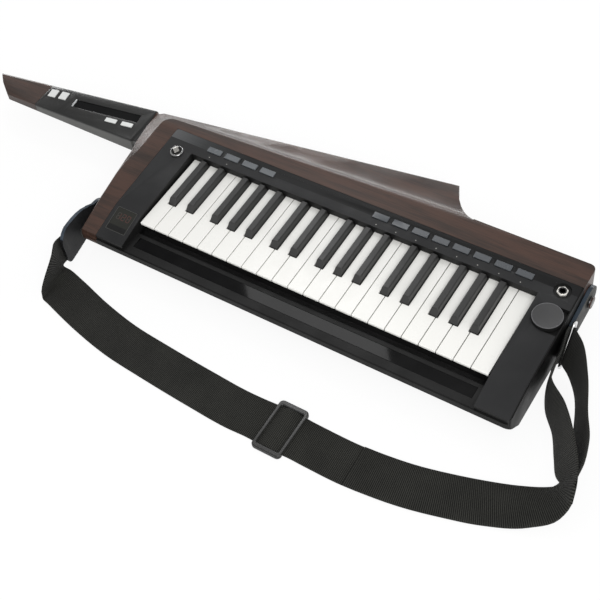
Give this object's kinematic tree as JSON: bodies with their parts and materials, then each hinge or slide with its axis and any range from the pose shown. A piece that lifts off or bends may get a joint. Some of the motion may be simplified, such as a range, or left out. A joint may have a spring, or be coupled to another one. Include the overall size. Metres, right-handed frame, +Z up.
{
  "type": "keytar",
  "caption": "Wooden keytar with slim piano keys, a touch ribbon before them, a long control neck, knob, dial, buttons and display, and a webbing shoulder strap laid out in front",
  "frame": {"origin": "middle of the back cover's rest face, on the surface that the instrument lies on, with X at the middle of the keyboard", "axes": "+X along the keys to the treble end, +Y to the back edge and the fin, +Z up out of the keyboard face"},
  "size_m": [0.9194, 0.3924, 0.067],
  "materials": {
    "wood": "dark walnut stain, satin lacquer",
    "panel": "satin black moulding",
    "cover": "textured black moulding",
    "neck_plate": "dark grey metallic",
    "touch_surface": "polished black",
    "window": "smoked polished window",
    "bright_metal": "polished",
    "webbing": "ribbed black webbing",
    "buckle": "dark grey moulding",
    "tab_leather": "grained black",
    "dial": "fine satin",
    "smoked_cap": "smoked grey",
    "white_cap": "satin white",
    "white_key": "satin ivory white",
    "black_key": "fine matte black"
  },
  "bodies": {
    "instrument": {"body_shell": "wood", "back_cover": "cover", "control_panel": "panel", "neck_panel": "neck_plate", "long_ribbon": "touch_surface", "display_window": "window", "headphone_jack": "bright_metal", "strap_webbing": "webbing", "strap_buckle": "buckle", "strap_ring": "bright_metal", "strap_tab_left": "tab_leather", "strap_tab_right": "tab_leather"},
    "level_knob": {"level_knob": "bright_metal"},
    "value_dial": {"value_dial": "dial"},
    "function_button_1": {"function_button_1": "smoked_cap"},
    "function_button_2": {"function_button_2": "smoked_cap"},
    "function_button_3": {"function_button_3": "smoked_cap"},
    "function_button_4": {"function_button_4": "smoked_cap"},
    "favourites_strip": {"favourites_strip": "smoked_cap"},
    "neck_button_1": {"neck_button_1": "white_cap"},
    "neck_button_2": {"neck_button_2": "white_cap"},
    "neck_button_3": {"neck_button_3": "white_cap"},
    "neck_button_4": {"neck_button_4": "white_cap"},
    "white_key_1": {"white_key_1": "white_key"},
    "white_key_2": {"white_key_2": "white_key"},
    "white_key_3": {"white_key_3": "white_key"},
    "white_key_4": {"white_key_4": "white_key"},
    "white_key_5": {"white_key_5": "white_key"},
    "white_key_6": {"white_key_6": "white_key"},
    "white_key_7": {"white_key_7": "white_key"},
    "white_key_8": {"white_key_8": "white_key"},
    "white_key_9": {"white_key_9": "white_key"},
    "white_key_10": {"white_key_10": "white_key"},
    "white_key_11": {"white_key_11": "white_key"},
    "white_key_12": {"white_key_12": "white_key"},
    "white_key_13": {"white_key_13": "white_key"},
    "white_key_14": {"white_key_14": "white_key"},
    "white_key_15": {"white_key_15": "white_key"},
    "white_key_16": {"white_key_16": "white_key"},
    "white_key_17": {"white_key_17": "white_key"},
    "white_key_18": {"white_key_18": "white_key"},
    "white_key_19": {"white_key_19": "white_key"},
    "white_key_20": {"white_key_20": "white_key"},
    "white_key_21": {"white_key_21": "white_key"},
    "white_key_22": {"white_key_22": "white_key"},
    "black_key_1": {"black_key_1": "black_key"},
    "black_key_2": {"black_key_2": "black_key"},
    "black_key_3": {"black_key_3": "black_key"},
    "black_key_4": {"black_key_4": "black_key"},
    "black_key_5": {"black_key_5": "black_key"},
    "black_key_6": {"black_key_6": "black_key"},
    "black_key_7": {"black_key_7": "black_key"},
    "black_key_8": {"black_key_8": "black_key"},
    "black_key_9": {"black_key_9": "black_key"},
    "black_key_10": {"black_key_10": "black_key"},
    "black_key_11": {"black_key_11": "black_key"},
    "black_key_12": {"black_key_12": "black_key"},
    "black_key_13": {"black_key_13": "black_key"},
    "black_key_14": {"black_key_14": "black_key"},
    "black_key_15": {"black_key_15": "black_key"}
  },
  "joints": [
    {"name": "level_turn", "type": "hinge", "parent": "instrument", "child": "level_knob", "pos_m": [-0.2477, 0.042, 0.05788], "axis": [0, -0.0573, 0.9984], "range_deg": [-210, 90]},
    {"name": "value_turn", "type": "hinge", "parent": "instrument", "child": "value_dial", "pos_m": [0.2517, 0.0228, 0.056], "axis": [0, 0, 1], "continuous": true},
    {"name": "function_press_1", "type": "slide", "parent": "instrument", "child": "function_button_1", "axis": [0, 0.0677, -0.9977], "range_m": [0, 0.0007], "stiffness_N_per_m": 300, "springref_m": -0.001},
    {"name": "function_press_2", "type": "slide", "parent": "instrument", "child": "function_button_2", "axis": [0, 0.0677, -0.9977], "range_m": [0, 0.0007], "stiffness_N_per_m": 300, "springref_m": -0.001},
    {"name": "function_press_3", "type": "slide", "parent": "instrument", "child": "function_button_3", "axis": [0, 0.0677, -0.9977], "range_m": [0, 0.0007], "stiffness_N_per_m": 300, "springref_m": -0.001},
    {"name": "function_press_4", "type": "slide", "parent": "instrument", "child": "function_button_4", "axis": [0, 0.0677, -0.9977], "range_m": [0, 0.0007], "stiffness_N_per_m": 300, "springref_m": -0.001},
    {"name": "favourites_press", "type": "slide", "parent": "instrument", "child": "favourites_strip", "axis": [0, 0.0677, -0.9977], "range_m": [0, 0.0007], "stiffness_N_per_m": 600, "springref_m": -0.001},
    {"name": "neck_press_1", "type": "slide", "parent": "instrument", "child": "neck_button_1", "axis": [0, 0, -1], "range_m": [0, 0.0006], "stiffness_N_per_m": 300, "springref_m": -0.001},
    {"name": "neck_press_2", "type": "slide", "parent": "instrument", "child": "neck_button_2", "axis": [0, 0, -1], "range_m": [0, 0.0006], "stiffness_N_per_m": 300, "springref_m": -0.001},
    {"name": "neck_press_3", "type": "slide", "parent": "instrument", "child": "neck_button_3", "axis": [0, 0, -1], "range_m": [0, 0.0006], "stiffness_N_per_m": 300, "springref_m": -0.001},
    {"name": "neck_press_4", "type": "slide", "parent": "instrument", "child": "neck_button_4", "axis": [0, 0, -1], "range_m": [0, 0.0006], "stiffness_N_per_m": 300, "springref_m": -0.001},
    {"name": "white_press_1", "type": "hinge", "parent": "instrument", "child": "white_key_1", "pos_m": [0, 0.081, 0.04], "axis": [1, 0, 0], "range_deg": [0, 3], "stiffness_Nm_per_rad": 0.77, "springref_deg": -4.47},
    {"name": "white_press_2", "type": "hinge", "parent": "instrument", "child": "white_key_2", "pos_m": [0, 0.081, 0.04], "axis": [1, 0, 0], "range_deg": [0, 3], "stiffness_Nm_per_rad": 0.77, "springref_deg": -4.47},
    {"name": "white_press_3", "type": "hinge", "parent": "instrument", "child": "white_key_3", "pos_m": [0, 0.081, 0.04], "axis": [1, 0, 0], "range_deg": [0, 3], "stiffness_Nm_per_rad": 0.77, "springref_deg": -4.47},
    {"name": "white_press_4", "type": "hinge", "parent": "instrument", "child": "white_key_4", "pos_m": [0, 0.081, 0.04], "axis": [1, 0, 0], "range_deg": [0, 3], "stiffness_Nm_per_rad": 0.77, "springref_deg": -4.47},
    {"name": "white_press_5", "type": "hinge", "parent": "instrument", "child": "white_key_5", "pos_m": [0, 0.081, 0.04], "axis": [1, 0, 0], "range_deg": [0, 3], "stiffness_Nm_per_rad": 0.77, "springref_deg": -4.47},
    {"name": "white_press_6", "type": "hinge", "parent": "instrument", "child": "white_key_6", "pos_m": [0, 0.081, 0.04], "axis": [1, 0, 0], "range_deg": [0, 3], "stiffness_Nm_per_rad": 0.77, "springref_deg": -4.47},
    {"name": "white_press_7", "type": "hinge", "parent": "instrument", "child": "white_key_7", "pos_m": [0, 0.081, 0.04], "axis": [1, 0, 0], "range_deg": [0, 3], "stiffness_Nm_per_rad": 0.77, "springref_deg": -4.47},
    {"name": "white_press_8", "type": "hinge", "parent": "instrument", "child": "white_key_8", "pos_m": [0, 0.081, 0.04], "axis": [1, 0, 0], "range_deg": [0, 3], "stiffness_Nm_per_rad": 0.77, "springref_deg": -4.47},
    {"name": "white_press_9", "type": "hinge", "parent": "instrument", "child": "white_key_9", "pos_m": [0, 0.081, 0.04], "axis": [1, 0, 0], "range_deg": [0, 3], "stiffness_Nm_per_rad": 0.77, "springref_deg": -4.47},
    {"name": "white_press_10", "type": "hinge", "parent": "instrument", "child": "white_key_10", "pos_m": [0, 0.081, 0.04], "axis": [1, 0, 0], "range_deg": [0, 3], "stiffness_Nm_per_rad": 0.77, "springref_deg": -4.47},
    {"name": "white_press_11", "type": "hinge", "parent": "instrument", "child": "white_key_11", "pos_m": [0, 0.081, 0.04], "axis": [1, 0, 0], "range_deg": [0, 3], "stiffness_Nm_per_rad": 0.77, "springref_deg": -4.47},
    {"name": "white_press_12", "type": "hinge", "parent": "instrument", "child": "white_key_12", "pos_m": [0, 0.081, 0.04], "axis": [1, 0, 0], "range_deg": [0, 3], "stiffness_Nm_per_rad": 0.77, "springref_deg": -4.47},
    {"name": "white_press_13", "type": "hinge", "parent": "instrument", "child": "white_key_13", "pos_m": [0, 0.081, 0.04], "axis": [1, 0, 0], "range_deg": [0, 3], "stiffness_Nm_per_rad": 0.77, "springref_deg": -4.47},
    {"name": "white_press_14", "type": "hinge", "parent": "instrument", "child": "white_key_14", "pos_m": [0, 0.081, 0.04], "axis": [1, 0, 0], "range_deg": [0, 3], "stiffness_Nm_per_rad": 0.77, "springref_deg": -4.47},
    {"name": "white_press_15", "type": "hinge", "parent": "instrument", "child": "white_key_15", "pos_m": [0, 0.081, 0.04], "axis": [1, 0, 0], "range_deg": [0, 3], "stiffness_Nm_per_rad": 0.77, "springref_deg": -4.47},
    {"name": "white_press_16", "type": "hinge", "parent": "instrument", "child": "white_key_16", "pos_m": [0, 0.081, 0.04], "axis": [1, 0, 0], "range_deg": [0, 3], "stiffness_Nm_per_rad": 0.77, "springref_deg": -4.47},
    {"name": "white_press_17", "type": "hinge", "parent": "instrument", "child": "white_key_17", "pos_m": [0, 0.081, 0.04], "axis": [1, 0, 0], "range_deg": [0, 3], "stiffness_Nm_per_rad": 0.77, "springref_deg": -4.47},
    {"name": "white_press_18", "type": "hinge", "parent": "instrument", "child": "white_key_18", "pos_m": [0, 0.081, 0.04], "axis": [1, 0, 0], "range_deg": [0, 3], "stiffness_Nm_per_rad": 0.77, "springref_deg": -4.47},
    {"name": "white_press_19", "type": "hinge", "parent": "instrument", "child": "white_key_19", "pos_m": [0, 0.081, 0.04], "axis": [1, 0, 0], "range_deg": [0, 3], "stiffness_Nm_per_rad": 0.77, "springref_deg": -4.47},
    {"name": "white_press_20", "type": "hinge", "parent": "instrument", "child": "white_key_20", "pos_m": [0, 0.081, 0.04], "axis": [1, 0, 0], "range_deg": [0, 3], "stiffness_Nm_per_rad": 0.77, "springref_deg": -4.47},
    {"name": "white_press_21", "type": "hinge", "parent": "instrument", "child": "white_key_21", "pos_m": [0, 0.081, 0.04], "axis": [1, 0, 0], "range_deg": [0, 3], "stiffness_Nm_per_rad": 0.77, "springref_deg": -4.47},
    {"name": "white_press_22", "type": "hinge", "parent": "instrument", "child": "white_key_22", "pos_m": [0, 0.081, 0.04], "axis": [1, 0, 0], "range_deg": [0, 3], "stiffness_Nm_per_rad": 0.77, "springref_deg": -4.47},
    {"name": "black_press_1", "type": "hinge", "parent": "instrument", "child": "black_key_1", "pos_m": [0, 0.081, 0.04], "axis": [1, 0, 0], "range_deg": [0, 3], "stiffness_Nm_per_rad": 0.77, "springref_deg": -4.47},
    {"name": "black_press_2", "type": "hinge", "parent": "instrument", "child": "black_key_2", "pos_m": [0, 0.081, 0.04], "axis": [1, 0, 0], "range_deg": [0, 3], "stiffness_Nm_per_rad": 0.77, "springref_deg": -4.47},
    {"name": "black_press_3", "type": "hinge", "parent": "instrument", "child": "black_key_3", "pos_m": [0, 0.081, 0.04], "axis": [1, 0, 0], "range_deg": [0, 3], "stiffness_Nm_per_rad": 0.77, "springref_deg": -4.47},
    {"name": "black_press_4", "type": "hinge", "parent": "instrument", "child": "black_key_4", "pos_m": [0, 0.081, 0.04], "axis": [1, 0, 0], "range_deg": [0, 3], "stiffness_Nm_per_rad": 0.77, "springref_deg": -4.47},
    {"name": "black_press_5", "type": "hinge", "parent": "instrument", "child": "black_key_5", "pos_m": [0, 0.081, 0.04], "axis": [1, 0, 0], "range_deg": [0, 3], "stiffness_Nm_per_rad": 0.77, "springref_deg": -4.47},
    {"name": "black_press_6", "type": "hinge", "parent": "instrument", "child": "black_key_6", "pos_m": [0, 0.081, 0.04], "axis": [1, 0, 0], "range_deg": [0, 3], "stiffness_Nm_per_rad": 0.77, "springref_deg": -4.47},
    {"name": "black_press_7", "type": "hinge", "parent": "instrument", "child": "black_key_7", "pos_m": [0, 0.081, 0.04], "axis": [1, 0, 0], "range_deg": [0, 3], "stiffness_Nm_per_rad": 0.77, "springref_deg": -4.47},
    {"name": "black_press_8", "type": "hinge", "parent": "instrument", "child": "black_key_8", "pos_m": [0, 0.081, 0.04], "axis": [1, 0, 0], "range_deg": [0, 3], "stiffness_Nm_per_rad": 0.77, "springref_deg": -4.47},
    {"name": "black_press_9", "type": "hinge", "parent": "instrument", "child": "black_key_9", "pos_m": [0, 0.081, 0.04], "axis": [1, 0, 0], "range_deg": [0, 3], "stiffness_Nm_per_rad": 0.77, "springref_deg": -4.47},
    {"name": "black_press_10", "type": "hinge", "parent": "instrument", "child": "black_key_10", "pos_m": [0, 0.081, 0.04], "axis": [1, 0, 0], "range_deg": [0, 3], "stiffness_Nm_per_rad": 0.77, "springref_deg": -4.47},
    {"name": "black_press_11", "type": "hinge", "parent": "instrument", "child": "black_key_11", "pos_m": [0, 0.081, 0.04], "axis": [1, 0, 0], "range_deg": [0, 3], "stiffness_Nm_per_rad": 0.77, "springref_deg": -4.47},
    {"name": "black_press_12", "type": "hinge", "parent": "instrument", "child": "black_key_12", "pos_m": [0, 0.081, 0.04], "axis": [1, 0, 0], "range_deg": [0, 3], "stiffness_Nm_per_rad": 0.77, "springref_deg": -4.47},
    {"name": "black_press_13", "type": "hinge", "parent": "instrument", "child": "black_key_13", "pos_m": [0, 0.081, 0.04], "axis": [1, 0, 0], "range_deg": [0, 3], "stiffness_Nm_per_rad": 0.77, "springref_deg": -4.47},
    {"name": "black_press_14", "type": "hinge", "parent": "instrument", "child": "black_key_14", "pos_m": [0, 0.081, 0.04], "axis": [1, 0, 0], "range_deg": [0, 3], "stiffness_Nm_per_rad": 0.77, "springref_deg": -4.47},
    {"name": "black_press_15", "type": "hinge", "parent": "instrument", "child": "black_key_15", "pos_m": [0, 0.081, 0.04], "axis": [1, 0, 0], "range_deg": [0, 3], "stiffness_Nm_per_rad": 0.77, "springref_deg": -4.47}
  ]
}
